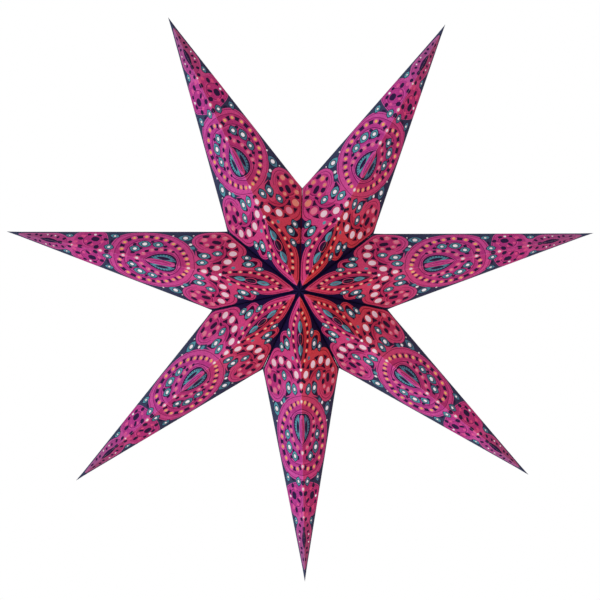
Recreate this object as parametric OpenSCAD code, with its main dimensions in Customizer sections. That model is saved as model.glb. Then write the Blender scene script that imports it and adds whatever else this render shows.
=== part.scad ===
// Star lantern with seven points, folded from printed card and lined with tissue.
// It stands in the XZ plane with +Z up, its front faces -Y, and its origin is
// the star's centre in the middle plane, where the outer edges of the points lie.

/* [Star] */
// Distance from the centre to the end of a point
point_reach = 300; // [220:5:400]
// Distance from the centre to the notch between two points
notch_reach = 91.5; // [80:0.5:110]
// Distance from the centre to the notch of the seam that is tied shut
tied_notch_reach = 99; // [85:0.5:115]
// Distance from the middle plane to the centre of the front, and of the back
half_depth = 75; // [55:1:100]

/* [Swing of each point from its even place, as the star hangs] */
// Turn of the bottom point, in degrees
bottom_turn = 1.0; // [-4:0.1:4]
// Turn of the lower left point, in degrees
lower_left_turn = 2.4; // [-4:0.1:4]
// Turn of the left point, in degrees
left_turn = 2.2; // [-4:0.1:4]
// Turn of the upper left point, in degrees
upper_left_turn = 0.3; // [-4:0.1:4]
// Turn of the upper right point, in degrees
upper_right_turn = -3.3; // [-4:0.1:4]
// Turn of the right point, in degrees
right_turn = -2.5; // [-4:0.1:4]
// Turn of the lower right point, in degrees
lower_right_turn = -0.9; // [-4:0.1:4]

/* [Paper] */
// Thickness of the printed card
card_thickness = 0.4; // [0.3:0.05:0.6]
// Thickness of the tissue behind the cut-outs
tissue_thickness = 0.1; // [0.1:0.05:0.2]
// Thickness of the glue between the card and the tissue
glue_thickness = 0.05; // [0.05:0.05:0.15]
// Distance from each seam at which the tissue stops
tissue_margin = 2; // [1.5:0.5:4]
// Width of the folded flaps that are glued at each seam
flap_width = 12; // [8:1:15]

/* [Tied seam] */
// Diameter of the hole that the lamp goes through, in the back of the seam
lamp_hole_diameter = 22; // [16:1:24]
// Distance from the notch to the middle of the lamp hole, along the back of the seam
lamp_hole_place = 27; // [24:1:32]
// Diameter of the hole that the star hangs by
hang_hole_diameter = 4; // [3:0.5:5]
// Distance from the notch down to the hole that the star hangs by
hang_hole_drop = 11; // [9:0.5:13]
// Diameter of the punched holes for the ties
tie_hole_diameter = 3; // [2:0.5:4]
// Distance from the front edge of the seam's notch to its first tie hole
tie_hole_start = 36; // [30:1:45]
// Distance between the tie holes
tie_hole_pitch = 34; // [25:1:38]

/* [Cut-outs, in millimetres on the flat print] */
// Half width of the large ovals in the lobe beside each notch
oval_radius = 4; // [3:0.1:4.4]
// Half width of the dots inside the lobe
dot_radius = 2.5; // [1.5:0.1:3]
// Half width of the beads around the large drop
bead_radius = 2.4; // [1.5:0.1:2.8]

/* [Hidden] */

// The points are counted clockwise from the bottom one, as seen from the front
POINTS = 7;
BOTTOM = 0;
LOWER_LEFT = 1;
LEFT = 2;
UPPER_LEFT = 3;
UPPER_RIGHT = 4;
RIGHT = 5;
LOWER_RIGHT = 6;
even_step = 360 / POINTS;
turns = [
    bottom_turn, lower_left_turn, left_turn, upper_left_turn,
    upper_right_turn, right_turn, lower_right_turn
];

// The flat print of half a point: a triangle with the front or back fold along
// X, the centre of the star at [0, 0] and the notch at print_notch, or nearer
// at the tied seam, where the edge of the print is folded into the flap
print_length = 309;
print_notch = [98, 66];
tied_print_notch = [98.5, 64];

// Places of the cut-outs on the flat print: the ovals, then the dots inside
// the lobe, then the beads around the drop
oval_places = [[85.8, 46.2], [80.3, 33.8], [81, 20.3], [88.5, 8.1]];
dot_places = [[96.1, 54.4], [108.1, 54.2], [114.9, 45.6]];
bead_places = [
    [117, 5.9], [121.2, 12.9], [127, 19.6], [133.8, 25.6], [142, 30.7], [151.2, 34.3],
    [161.3, 35], [171.8, 33.8], [182.6, 28.4], [189.3, 19.2], [188.3, 8.8]
];
oval_sides = 6;
bead_sides = 4;

// How far the hollow reaches past the seams, as a share of the point
open_past = 1.04;
// How far cutting shapes reach past the sheet that they cut
cut_past = 2;
hole_faces = 32;

front_centre = [0, -half_depth, 0];
back_centre = [0, half_depth, 0];
outward_y = [0, 1, 0];

function unit(v) = v / norm(v);
function on_star(reach, angle) = reach * [cos(angle), 0, sin(angle)];
function place(i) = 270 - i * even_step + turns[i];

// Seam i lies between point i and the next one clockwise
function seam_angle(i) =
    let (next = (i + 1) % POINTS)
    (place(i) + place(next) - (next == 0 ? 360 : 0)) / 2;
function seam_reach(i) = i == UPPER_LEFT ? tied_notch_reach : notch_reach;
function seam_print(i) = i == UPPER_LEFT ? tied_print_notch : print_notch;
function seam_before(i) = (i + POINTS - 1) % POINTS;
function tip(i) = on_star(point_reach, place(i));
function notch(i) = on_star(seam_reach(i), seam_angle(i));

// Outward normal of the front facet between point i and one of its notches
function front_normal(i, notch_point) =
    let (n = unit(cross(notch_point - front_centre, tip(i) - front_centre)))
    n * front_centre > 0 ? n : -n;

// The move along the middle plane that shifts all four facets inwards by depth
function inset(i, depth) =
    let (
        a = front_normal(i, notch(i)),
        b = front_normal(i, notch(seam_before(i))),
        det = a.x * b.z - a.z * b.x
    )
    [-depth * (b.z - a.z) / det, 0, -depth * (a.x - b.x) / det];

// Half of the narrower angle that a point spans at the centre
function narrow_half(i) =
    let (
        to_next = abs(place(i) - seam_angle(i)),
        turned = place(i) - (i == BOTTOM ? 360 : 0),
        to_last = abs(turned - seam_angle(seam_before(i)))
    )
    min(to_next, to_last);

// Solid bounded by a point's four facets and its two seams, shifted inwards by
// depth, with its seam side moved out or in from the tip by the factor reach
module point_solid(i, depth, reach) {
    end = tip(i);
    corners = [
        for (c = [end, front_centre, notch(i), back_centre, notch(seam_before(i))])
        end + reach * (c - end) + inset(i, depth)
    ];
    polyhedron(corners, [
        [1, 0, 2], [1, 4, 0], [3, 2, 0], [3, 0, 4], [1, 2, 3], [4, 1, 3]
    ]);
}

// Places children in the plane of a seam: X away from the centre, Y to the back
module in_seam(i) {
    x = on_star(1, seam_angle(i));
    z = cross(x, outward_y);
    multmatrix([
        [x.x, outward_y.x, z.x, 0],
        [x.y, outward_y.y, z.y, 0],
        [x.z, outward_y.z, z.z, 0],
        [0, 0, 0, 1]
    ]) children();
}

// The strip of a seam's plane that its folded flap covers, thick enough to
// cross the plane; side is 1 when the point lies above the plane, else -1
module flap_strip(i, side) {
    reach = seam_reach(i);
    window = reach - flap_width / sin(atan(half_depth / reach));
    past = cut_past * card_thickness;
    deep = half_depth * (1 + past / reach) + past;
    in_seam(i)
        translate([0, 0, side > 0 ? -past : -card_thickness])
        linear_extrude(past + card_thickness)
        difference() {
            polygon([[-past, -deep], [reach + 2 * past, 0], [-past, deep]]);
            polygon([
                [-flap_width, -half_depth * (window + flap_width) / reach],
                [window, 0],
                [-flap_width, half_depth * (window + flap_width) / reach]
            ]);
        }
}

// Corners of a cut-out with flat sides, as places on the flat print
function cut_out(middle, radius, sides) = [
    for (k = [0 : sides - 1])
    middle + radius * [cos(360 * k / sides), sin(360 * k / sides)]
];

CUT_OUTS = [
    for (p = oval_places) cut_out(p, oval_radius, oval_sides),
    for (p = dot_places) cut_out(p, dot_radius, bead_sides),
    for (p = bead_places) cut_out(p, bead_radius, bead_sides)
];

// Whether a cut-out keeps clear of the lamp hole, when its facet has one
function clear_of_lamp(shape, has_lamp_hole) =
    let (
        seam_length = norm([tied_notch_reach, half_depth]),
        lamp_middle = (1 - lamp_hole_place / seam_length) * tied_print_notch
    )
    !has_lamp_hole || norm(shape[0] - lamp_middle) > lamp_hole_diameter / 2 + oval_radius;

// Cuts one half point's print out of its facet; the print is stretched to fit
// the facet between the star's centre, the tip and the notch
module facet_cut_outs(centre, end, notch_point, print_corner, has_lamp_hole) {
    x = unit(end - centre);
    to_notch = notch_point - centre;
    notch_x = to_notch * x;
    y = unit(to_notch - notch_x * x);
    notch_y = to_notch * y;
    z = cross(x, y);
    multmatrix([
        [x.x, y.x, z.x, centre.x],
        [x.y, y.y, z.y, centre.y],
        [x.z, y.z, z.z, centre.z],
        [0, 0, 0, 1]
    ])
        linear_extrude(2 * cut_past * card_thickness, center = true)
        for (shape = CUT_OUTS)
        if (clear_of_lamp(shape, has_lamp_hole))
        polygon([
            for (p = shape)
            let (
                out = p.y / print_corner.y,
                along = (p.x - out * print_corner.x) / print_length
            )
            [along * norm(end - centre) + out * notch_x, out * notch_y]
        ]);
}

// Holes of the seam that is tied shut: for the lamp, the cord and the ties
module tied_seam_holes() {
    reach = tied_notch_reach;
    tilt = atan(half_depth / reach);
    in_seam(UPPER_LEFT) {
        for (side = [-1, 1])
        for (k = [0, 1]) {
            along = tie_hole_start + tie_hole_pitch * k + (side > 0 ? lamp_hole_diameter / 2 : 0);
            translate([
                reach - along * cos(tilt) - flap_width / 2 * sin(tilt),
                side * (along * sin(tilt) - flap_width / 2 * cos(tilt)),
                -cut_past * card_thickness
            ])
                cylinder(d = tie_hole_diameter, h = 2 * cut_past * card_thickness, $fn = hole_faces);
        }
        translate([reach - hang_hole_drop, 0, -cut_past * card_thickness])
            cylinder(d = hang_hole_diameter, h = 2 * cut_past * card_thickness, $fn = hole_faces);
        translate([reach - lamp_hole_place * cos(tilt), lamp_hole_place * sin(tilt), 0])
            rotate([0, 0, 90 - tilt])
            rotate([0, 90, 0])
            translate([0, 0, -flap_width - cut_past * card_thickness])
            rotate([0, 0, 45])
            cylinder(d = lamp_hole_diameter, h = 2 * flap_width + lamp_hole_diameter, $fn = hole_faces);
    }
}

// One point's folded card with its flaps and cut-outs
module card_point(i) {
    before = seam_before(i);
    tied = i == UPPER_LEFT || i == UPPER_RIGHT;
    color("#a81d58")
    difference() {
        point_solid(i, 0, 1);
        difference() {
            point_solid(i, card_thickness, open_past);
            flap_strip(i, 1);
            flap_strip(before, -1);
        }
        for (centre = [front_centre, back_centre])
        for (seam = [i, before])
            facet_cut_outs(
                centre, tip(i), notch(seam), seam_print(seam),
                has_lamp_hole = seam == UPPER_LEFT && centre == back_centre
            );
        if (tied) tied_seam_holes();
    }
}

// One point's tissue, glued behind the card, clear of the flaps and lamp hole
module tissue_lining(i) {
    depth = card_thickness + glue_thickness;
    reach = 1 - tissue_margin / (point_reach * sin(narrow_half(i)));
    color("#f2dfe2")
    difference() {
        point_solid(i, depth, reach);
        point_solid(i, depth + tissue_thickness, open_past);
        if (i == UPPER_LEFT || i == UPPER_RIGHT) tied_seam_holes();
    }
}

card_point(BOTTOM);  // point_bottom
card_point(LOWER_LEFT);  // point_lower_left
card_point(LEFT);  // point_left
card_point(UPPER_LEFT);  // point_upper_left
card_point(UPPER_RIGHT);  // point_upper_right
card_point(RIGHT);  // point_right
card_point(LOWER_RIGHT);  // point_lower_right
tissue_lining(BOTTOM);  // lining_bottom
tissue_lining(LOWER_LEFT);  // lining_lower_left
tissue_lining(LEFT);  // lining_left
tissue_lining(UPPER_LEFT);  // lining_upper_left
tissue_lining(UPPER_RIGHT);  // lining_upper_right
tissue_lining(RIGHT);  // lining_right
tissue_lining(LOWER_RIGHT);  // lining_lower_right
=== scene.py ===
"""A star lantern with seven points, folded from printed, die-cut card and lined with tissue."""

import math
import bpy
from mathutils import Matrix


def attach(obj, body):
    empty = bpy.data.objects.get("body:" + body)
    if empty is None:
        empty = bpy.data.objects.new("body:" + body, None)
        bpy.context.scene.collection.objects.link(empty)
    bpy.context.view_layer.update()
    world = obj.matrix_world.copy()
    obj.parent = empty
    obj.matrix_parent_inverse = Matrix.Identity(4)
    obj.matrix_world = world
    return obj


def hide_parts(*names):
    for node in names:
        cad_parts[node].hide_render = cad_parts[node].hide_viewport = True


bl_info = {
    "name": "Paper star lantern",
    "version": (1, 0, 0),
    "blender": (4, 5, 0),
    "location": "3D View > Sidebar > Paper star",
    "description": "Makes the printed card, the tissue and the studio of a folded star lantern",
    "category": "Add Mesh",
}

import bpy
import numpy as np
from bpy.props import FloatProperty, FloatVectorProperty, PointerProperty
from bpy.types import Operator, Panel, PropertyGroup
from mathutils import Vector, kdtree
from mathutils.geometry import delaunay_2d_cdt

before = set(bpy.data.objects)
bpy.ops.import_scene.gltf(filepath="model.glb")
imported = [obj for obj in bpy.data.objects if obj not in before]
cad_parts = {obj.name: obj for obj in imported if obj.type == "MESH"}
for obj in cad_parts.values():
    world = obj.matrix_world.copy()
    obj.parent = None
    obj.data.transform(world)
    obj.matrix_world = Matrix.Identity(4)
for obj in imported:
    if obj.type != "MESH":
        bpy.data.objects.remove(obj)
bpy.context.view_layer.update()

MM = 0.001

# The points in clockwise order from the bottom one, as seen from the front;
# the seam after TIED_AFTER is the one that is tied shut
POINTS = ("bottom", "lower_left", "left", "upper_left", "upper_right", "right", "lower_right")
TIED_AFTER = 3

# The flat print of half a point, in millimetres: the fold lies along X, the
# star's centre is at (0, 0), the tip at (PRINT_LENGTH, 0)
PRINT_LENGTH = 309.0
PRINT_CORNER = (98.0, 66.0)
TIED_PRINT_CORNER = (98.5, 64.0)
# How far the print of the tied faces lies nearer to their seam
TIED_SHIFT = 1.4

# The tied seam, in millimetres, as the card is punched
FLAP_WIDTH = 12.0
LAMP_HOLE = 22.0
LAMP_HOLE_PLACE = 27.0
HANG_HOLE = 4.0
HANG_HOLE_DROP = 11.0
TIE_HOLE = 3.0
TIE_HOLE_START = 36.0
TIE_HOLE_PITCH = 34.0

# In metres: how near to a ridge the print is rubbed pale, how near to the tip, the
# centre and the notches the folds stay sharp, and how near to a fold a face stays flat
WEAR_WIDTH = 0.0011
SHARP_TIP = 0.014
SHARP_CENTRE = 0.008
SHARP_NOTCH = 0.01
FLAT_EDGE = 0.022

# In metres: the length over which a face's slow swells and hollows turn by one radian
SWELL_SPAN = 0.052

# In metres from the star's middle axis: where the centre's inks end and the tips'
# inks start, and where the dust at the tips starts and is full
CENTRE_INKS_END = 0.045
TIP_INKS_START = 0.15
DUST_START = 0.215
DUST_FULL = 0.285

# Scales of the paper's textures
FIBRES = 1500.0
CLOUDS = 46.0
GRAIN = 620.0
CHIPS = 520.0

# The photo's width, the lens and the star's centre, in pixels
PICTURE = 600.0
FOCAL_PIXELS = 1888.0
CENTRE_PIXEL = (299.7, 286.6)

# The camera's sensor in millimetres, and the floor in metres
SENSOR_WIDTH = 36.0
FLOOR_RADIUS = 6.0
FLOOR_SIDES = 64


def from_screen(red, green, blue):
    """A colour as it looks on a screen, 0 to 255, in Blender's linear values."""

    def linear(c):
        c /= 255
        return c / 12.92 if c <= 0.04045 else ((c + 0.055) / 1.055) ** 2.4

    return tuple(linear(c) for c in (red, green, blue))


def length_size(name, description, millimetres, low=0.0):
    return FloatProperty(
        name=name, description=description, default=millimetres * MM, min=low * MM,
        unit="LENGTH", precision=5,
    )


def ink_colour(name, description, red, green, blue):
    return FloatVectorProperty(
        name=name, description=description, default=from_screen(red, green, blue),
        min=0, max=1, subtype="COLOR", size=3,
    )


def lamp_power(name, description, watts):
    return FloatProperty(name=name, description=description, default=watts, min=0, unit="POWER")


def lamp_place(name, description, place):
    return FloatVectorProperty(
        name=name, description=description, default=place, size=3, subtype="TRANSLATION", unit="LENGTH",
    )


def lamp_colour(name, description, colour):
    return FloatVectorProperty(
        name=name, description=description, default=colour, min=0, max=1, size=3, subtype="COLOR",
    )


class StarPaperSizes(PropertyGroup):
    card_thickness: length_size("Card", "Thickness of the printed card", 0.4, 0.1)
    tissue_depth: length_size("Tissue depth", "Depth of the tissue under the card's outer face", 0.46, 0.2)
    tissue_thickness: length_size("Tissue", "Thickness of the tissue", 0.09, 0.01)
    tissue_margin: length_size("Tissue margin", "Distance from each seam at which the tissue stops", 2.0)
    seam_gap: length_size("Seam gap", "Distance of each flap from the middle of its seam", 0.005)
    fold_width: length_size("Fold width", "Distance from a fold over which the card is rounded", 1.3, 0.1)
    fold_drop: length_size("Fold drop", "How far the rounding lies under the sharp fold", 0.3)
    unevenness: length_size("Unevenness", "How far a face swells and sinks between its folds", 0.55)
    weave: length_size(
        "Mesh spacing", "Distance between the mesh points inside a field of colour", 5.0, 2.0)


class StarPrintColours(PropertyGroup):
    ground_near: ink_colour("Ground, centre", "Ground between the leaves", 28, 16, 64)
    ground_far: ink_colour("Ground, tips", "Ground along the outer edges and tips", 56, 66, 96)
    band_near: ink_colour("Band, centre", "Outlines of the leaves", 212, 68, 134)
    band_far: ink_colour("Band, tips", "Outlines of the drops", 204, 80, 162)
    field_near: ink_colour("Field, centre", "Inside of the leaves", 192, 48, 112)
    field_far: ink_colour("Field, tips", "Inside of the drops", 184, 58, 144)
    glow_near: ink_colour("Glow, centre", "Rims round the leaves' cut-outs", 224, 72, 126)
    glow_far: ink_colour("Glow, tips", "Rims round the drops' cut-outs", 222, 90, 156)
    line_near: ink_colour("Line, centre", "Thin lines in the leaves", 116, 12, 64)
    line_far: ink_colour("Line, tips", "Thin lines in the drops", 116, 18, 96)
    dark_near: ink_colour("Dark, centre", "Marks between the dots", 50, 8, 50)
    dark_far: ink_colour("Dark, tips", "Marks inside the drops", 44, 18, 68)
    teal: ink_colour("Teal", "Pointed leaves around the white dots", 88, 162, 176)
    card_back: ink_colour("Card back", "Unprinted inside and cut edges of the card", 226, 214, 206)
    # Painted light: these two colours are multiplied into the red inks of faces that look to the right, for
    # the redder light those faces get
    side_light_reds_near: ink_colour(
        "Reds' share, centre", "Share of the red inks kept on the right faces", 248, 226, 116)
    side_light_reds_far: ink_colour(
        "Reds' share, tips", "Share of the red inks kept on the right faces", 242, 186, 176)
    tip_dust: ink_colour(
        "Dust at the tips", "Dull violet that the red inks fade to at the tips", 134, 98, 138)
    # Painted shade: multiplied into the dark and teal inks of faces that look to the right, for the dimmer
    # light those faces get
    side_shade_darks: ink_colour(
        "Darks' share", "Share of the dark and teal inks kept on the right faces", 206, 162, 180)


class StarTissueColours(PropertyGroup):
    plain: ink_colour("Plain", "Tissue between the cut-outs", 232, 214, 220)
    pink_white: ink_colour("Pale pink", "Tissue behind the ovals", 242, 212, 224)
    orange: ink_colour("Orange", "Tissue behind the beads", 244, 178, 104)
    cream: ink_colour("Cream", "Tissue behind the leaves' dots", 246, 196, 158)
    pink: ink_colour("Pink", "Tissue behind the lobes' dots", 232, 124, 152)
    white: ink_colour("White", "Tissue behind the small eyes", 252, 246, 252)
    # Painted shade: this darker orange-pink tissue stands for the dimmer light on the cut-outs beside the
    # tied seam, at the top of the star
    salmon: ink_colour("Salmon", "Tissue behind the cut-outs beside the tied seam", 238, 142, 122)


class StarStudio(PropertyGroup):
    camera_distance: length_size("Camera distance", "Distance of the camera from the star's centre", 1900.0)
    camera_azimuth: FloatProperty(
        name="Camera azimuth", description="Camera's turn to the right of the star's front",
        default=math.radians(0.2), subtype="ANGLE",
    )
    camera_elevation: FloatProperty(
        name="Camera elevation", description="Camera's height over the star's centre",
        default=math.radians(3.07), subtype="ANGLE",
    )
    floor_drop: length_size("Floor", "Distance of the floor under the star's centre", 1400.0)
    world_strength: FloatProperty(
        name="World", description="Strength of the even light all round", default=0.76, min=0,
    )
    left_lamp_power: lamp_power("Left lamp", "Power of the lamp on the left", 17.0)
    left_lamp_place: lamp_place("Left lamp's place", "Middle of the left lamp", (-1.7, -2.0, -0.6))
    left_lamp_size: length_size("Left lamp's size", "Side of the left lamp", 1400.0)
    left_lamp_colour: lamp_colour("Left lamp's colour", "Light of the left lamp", (0.94, 0.97, 1.0))
    right_lamp_power: lamp_power("Right lamp", "Power of the lamp on the right", 4.0)
    right_lamp_place: lamp_place("Right lamp's place", "Middle of the right lamp", (0.9, -1.1, -0.7))
    right_lamp_size: length_size("Right lamp's size", "Side of the right lamp", 1000.0)
    right_lamp_colour: lamp_colour("Right lamp's colour", "Light of the right lamp", (1.0, 0.95, 0.92))


# Flat shapes of the print, in millimetres


def oval(x, y, rx, ry=None, turn=0.0):
    """Corners of an oval; ry is rx where it isn't given."""
    ry = rx if ry is None else ry
    steps = max(10, min(28, int(2 * math.pi * max(rx, ry) / 0.95)))
    t = np.arange(steps) * 2 * math.pi / steps
    return turned(np.stack([rx * np.cos(t), ry * np.sin(t)], 1), turn) + (x, y)


def leaf(x, y, rx, ry, turn=0.0):
    """Corners of an oval with two pointed ends."""
    steps = max(5, int(rx / 0.9))
    along = np.linspace(-1, 1, steps, endpoint=False)
    half = ry * (1 - along**2) ** 0.8
    lower = np.stack([rx * along, -half], 1)
    return turned(np.concatenate([lower, -lower]), turn) + (x, y)


def block(x, y, rx, ry, turn=0.0):
    """Corners of a small block with rounded corners."""
    side, corner = 1.05, 0.8
    eighth = [(side, 0), (corner, corner), (0, side), (-corner, corner)]
    corners = np.array(eighth + [(-a, -b) for a, b in eighth])
    return turned(corners * (rx, ry), turn) + (x, y)


def turned(points, degrees):
    c, s = math.cos(math.radians(degrees)), math.sin(math.radians(degrees))
    return np.asarray(points, float) @ np.array([[c, s], [-s, c]])


def smooth(points, closed=True, step=1.7):
    """A smooth line through points, with a corner about every step."""
    p = np.asarray(points, float)
    count = len(p)
    line = []
    for i in range(count if closed else count - 1):
        if closed:
            a, b, c, d = (p[(i + k) % count] for k in (-1, 0, 1, 2))
        else:
            a, b, c, d = p[max(i - 1, 0)], p[i], p[i + 1], p[min(i + 2, count - 1)]
        parts = max(1, int(round(np.linalg.norm(c - b) / step)))
        for k in range(parts):
            t = k / parts
            line.append(
                0.5 * (2 * b + (c - a) * t + (2 * a - 5 * b + 4 * c - d) * t**2
                       + (3 * b - a - 3 * c + d) * t**3)
            )
    if not closed:
        line.append(p[-1])
    return np.array(line)


def ribbon(points, width, aside=0.0):
    """Outline of a band of one width along a smooth line, or that far to the left of it."""
    line = smooth(points, closed=False)
    slope = np.gradient(line, axis=0)
    side = np.stack([-slope[:, 1], slope[:, 0]], 1)
    side /= np.linalg.norm(side, axis=1, keepdims=True)
    line = line + side * aside
    return np.concatenate([line + side * width / 2, (line - side * width / 2)[::-1]])


def closed_by_fold(points):
    """A smooth line from the fold and back to it, closed a little past the fold."""
    return np.concatenate([smooth(points, closed=False), [(points[-1][0], -2), (points[0][0], -2)]])


def resized(points, middle, share):
    """The same points nearer to a middle on the fold, or farther from it."""
    return [(middle + (x - middle) * share, y * share) for x, y in points]


def ring(x, y, inner, outer, start=0, end=359):
    """A ring, or its part between two angles in degrees."""
    steps = max(4, int(abs(end - start) * outer * math.pi / 180 / 1.7))
    t = np.radians(np.linspace(start, end, steps + 1))
    arc = np.stack([np.cos(t), np.sin(t)], 1)
    return np.concatenate([arc * outer, (arc * inner)[::-1]]) + (x, y)


def rays(x, y, near, far, count):
    """Thin wedges round a dot, between two distances from its middle."""
    lines = []
    for k in range(count):
        a = 2 * math.pi * (k + 0.5) / count
        way = np.array([math.cos(a), math.sin(a)])
        across = np.array([-way[1], way[0]]) * RAY_WIDTH / 2
        lines.append(np.array([way * near + across, way * near - across, way * far]) + (x, y))
    return lines


# The places were read off the photo's faces laid flat, and moved for the camera's
# perspective. First the leaf at the centre, which runs along the fold
LEAF_EDGE = [
    (5.8, 0), (10, 3.9), (15, 7.1), (20, 10.3), (25, 13.4), (30, 16), (35, 17.9), (40, 18.9), (45, 18.9),
    (51, 17.8), (57, 16.3), (63, 14.3), (68.3, 11.9), (73, 9.1), (77, 5.6), (79.7, 0),
]
LEAF_INSIDE = [
    (13.5, 0), (19.3, 4.2), (25.2, 8.3), (31, 11.8), (36.9, 14.4), (43.8, 15.6), (50.6, 15), (58.4, 13.4),
    (65.2, 11.4), (70.7, 8.5), (74, 4.6), (75.3, 0),
]
LEAF_DOTS = [(23.9, 4.3), (30, 7.6), (37.1, 10.7), (45.7, 12), (54.3, 11.8), (64, 9.8), (73.5, 6.4)]
LEAF_ROW = [(18.2, 0.6), (20.6, 2.2)] + LEAF_DOTS + [(78, 3)]
# The spike between the leaf and the notch
SPIKE_EDGE = [
    (45.4, 17), (46.2, 21.9), (47.4, 26.9), (49.6, 30.7), (53.1, 33.1), (57.5, 33.9), (63, 34.1),
    (70, 34.9), (72.8, 29), (72.2, 11.2), (58.4, 9.2),
]
SPIKE_INSIDE = [
    (52.1, 21), (52.2, 27.6), (54.6, 30.2), (60.4, 29.5), (66, 30.4), (69.4, 29.6), (69.6, 19.2),
    (64.6, 17.5), (56.8, 18.3),
]
SPIKE_DARK = [
    (52.6, 23), (52.5, 28.4), (55, 29.6), (60.2, 28.6), (64.8, 28.8), (67.6, 26.2), (68.8, 19.8),
    (65.8, 18.5), (60.6, 18.6), (55.6, 19.6),
]
# Where the spike's outline runs out to the tied seam
SPIKE_ENDS = [[(46.4, 25), (46.2, 30.5), (45, 33)], [(60, 35.6), (55.6, 36), (50.6, 37)]]
# The lobe beside the notch
LOBE_EDGE = [
    (67.7, 32.9), (68.1, 38.9), (69.6, 42.9), (71.9, 46), (75.4, 48.8), (79.4, 51.3), (84.6, 54.8),
    (89.7, 58.4), (93.9, 61.2), (99, 62.8), (105, 61.9), (111, 59.7), (117, 57), (122.4, 53.4),
    (125.9, 48.3), (126.4, 42.8), (123.8, 36.2), (118.7, 30.1), (115.8, 23.1), (111.8, 11.3), (108.2, -2),
    (71.8, -2), (68.3, 11.2), (65.7, 23),
]
LOBE_BAND = [
    (69.9, 31.9), (70.2, 37.9), (72, 42.7), (75.3, 46.6), (80.4, 50), (86.6, 53.8), (92.7, 57.9),
    (98.9, 60.4), (104.9, 59.6), (110.9, 57.4), (116.7, 54.6), (121.2, 50.9), (123.7, 46.3),
    (123.6, 41.2), (120.8, 36.2), (115.8, 31.9), (109.6, 29.9),
]
LOBE_INSIDE = [
    (75.2, 13.2), (77.5, 21), (75.3, 29), (75.5, 39), (78.9, 45.4), (85.4, 50.1), (93.7, 55.4),
    (99.8, 57.7), (106.8, 57), (113.4, 53.9), (118.7, 49.9), (120.8, 44.8), (119.8, 39.8), (115.9, 35.1),
    (108.8, 32.7), (101.7, 32.1), (94.4, 23.1), (95.9, 11.2), (94.4, -2), (81.6, -2),
]
LOBE_RING = (102.6, 28.4, 16.4, 28.4)
OVALS = [(85.8, 46.2), (80.3, 33.8), (81, 20.3), (88.5, 8.1)]
MEDALLION = (105.9, 46.1)
LOBE_DOTS = [(96.1, 54.4, 2.5), (108.1, 54.2, 2.5), (114.9, 45.6, 2.7), (109.4, 38.7, 1.9), (98, 38.7, 1.9)]
# The drop on the fold
DROP_EDGE = [
    (106.3, 0), (109.1, 7.3), (112.5, 15.2), (116.8, 22.6), (122.1, 28.7), (128.4, 34), (135.7, 38.3),
    (143.5, 41.1), (151.7, 42.6), (160.9, 42.4), (171, 40.7), (181, 37.9), (188.9, 34.5), (195.2, 30),
    (199.1, 24.4), (200.7, 16.4), (200.5, 7.4), (199.3, 0),
]
DROP_INSIDE = [
    (112.6, 0), (115.1, 5.4), (118, 11.7), (122.1, 18.2), (127.4, 24.2), (134.1, 29.6), (142.1, 34),
    (150.9, 36.7), (161.2, 37.7), (171.5, 36.8), (181.3, 33.8), (188.7, 28.8), (193.2, 22), (194.3, 13.4),
    (193.9, 5.4), (192.8, 0),
]
BEADS = [
    (117, 5.9), (121.2, 12.9), (127, 19.6), (133.8, 25.6), (142, 30.7), (151.2, 34.3), (161.3, 35),
    (171.8, 33.8), (182.6, 28.4), (189.3, 19.2), (188.3, 8.8),
]
DROP_CORE = [
    (121.6, 0), (124.4, 5.4), (129.2, 12.7), (135.5, 18.4), (142.8, 22.8), (148.8, 27.6), (155, 30.3),
    (163.1, 30.7), (171.1, 28.9), (177.6, 25.1), (182.2, 18.7), (183.4, 11.4), (182.5, 4.4), (181, 0),
]
DROP_CORE_MIDDLE = 156
CORE_LINE = [(131, 16.6), (140.4, 22.2), (150, 21.8), (159.3, 18.9), (165.9, 12.9), (169.9, 3.4), (169.9, -2)]
ROW_DOTS = [(141.3, 19.5, 1.8), (150, 18.5, 1.8), (158.6, 15.5, 1.8), (165, 8, 1.8)]
EYELID = [
    (127.2, 0), (128.2, 5), (131.8, 10.6), (137.2, 13.7), (143.2, 14.3), (149.2, 12.8), (154.4, 9.6),
    (158.4, 5), (160.6, 0),
]
CRESCENT = [
    (130, 4.6), (132.6, 8.4), (137, 11.2), (142.6, 12.2), (148.6, 10.9), (153, 8), (155.6, 4.4),
    (143, 4.6),
]
CRESCENT_SLIT = (143, 7, 7.6, 2.1)
CRESCENT_MIDDLE = (143, 3.2)
CRESCENT_LASHES = 11
DROP_SPINDLE = [(128.6, 0), (130.2, 2.9), (136.4, 3.9), (144.4, 4.2), (152.4, 3.8), (157.8, 2.6), (160, 0)]
# The ring and the tail beside the tip
RING_EDGE = [
    (200.1, -2), (201.2, 4.4), (203.3, 11.4), (206.5, 18.4), (210.1, 24.4), (214, 27.7), (222.1, 26.7),
    (230.1, 24.1), (237, 21.3), (240.8, 17.5), (242.4, 11.5), (249, 11.2), (255.8, 13), (261.9, 12.3),
    (271.9, 9.2), (281.9, 6.1), (290.9, 3.3), (296.1, 0), (289, -3),
]
RING_INSIDE = [
    (204.3, 3.5), (206.6, 13.4), (211.2, 22.4), (216.8, 25.5), (225.9, 23.7), (234.8, 20.1),
    (238.8, 14.5), (238.7, 7.5), (234.1, 2.5), (225.5, -2), (207.2, -2),
]
TAIL_INSIDE = [
    (243.2, 1.2), (248, 8.1), (256.5, 10.5), (267.6, 7.7), (280.6, 3.9), (289.5, 0.9), (288.1, -2),
    (243.9, -2),
]
RING_MIDDLE = (220.8, 12.6)

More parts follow.
